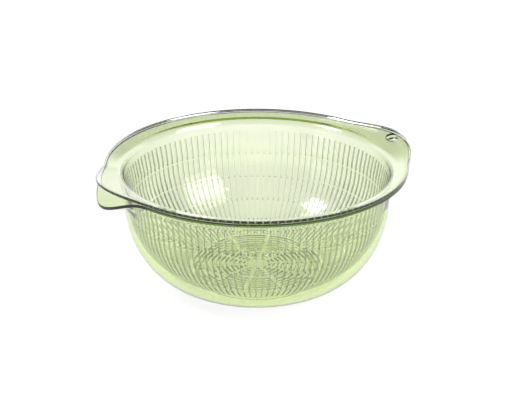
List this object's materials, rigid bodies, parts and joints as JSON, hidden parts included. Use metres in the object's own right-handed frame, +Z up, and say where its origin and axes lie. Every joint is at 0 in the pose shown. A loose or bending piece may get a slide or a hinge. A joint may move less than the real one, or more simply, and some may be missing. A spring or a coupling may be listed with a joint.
{
  "type": "colander with bowl",
  "caption": "Round slotted colander hanging by its sloped flange inside a clear green pouring bowl, with matching spouts and handle tabs and a hanging hole.",
  "frame": {"origin": "on the axis of the round bowl, in the plane that its foot stands on", "axes": "+X to the handle tabs, -X to the spouts, +Z up along the bowl's axis"},
  "size_m": [0.2744, 0.25, 0.1083],
  "materials": {
    "green_plastic": "transparent pale green, polished",
    "clear_plastic": "transparent colourless, polished"
  },
  "bodies": {
    "bowl": {"bowl": "green_plastic"},
    "colander": {"colander": "clear_plastic"}
  },
  "joints": [
    {"name": "colander_lift", "type": "slide", "parent": "bowl", "child": "colander", "axis": [0, 0, 1], "range_m": [0, 0.12]}
  ]
}
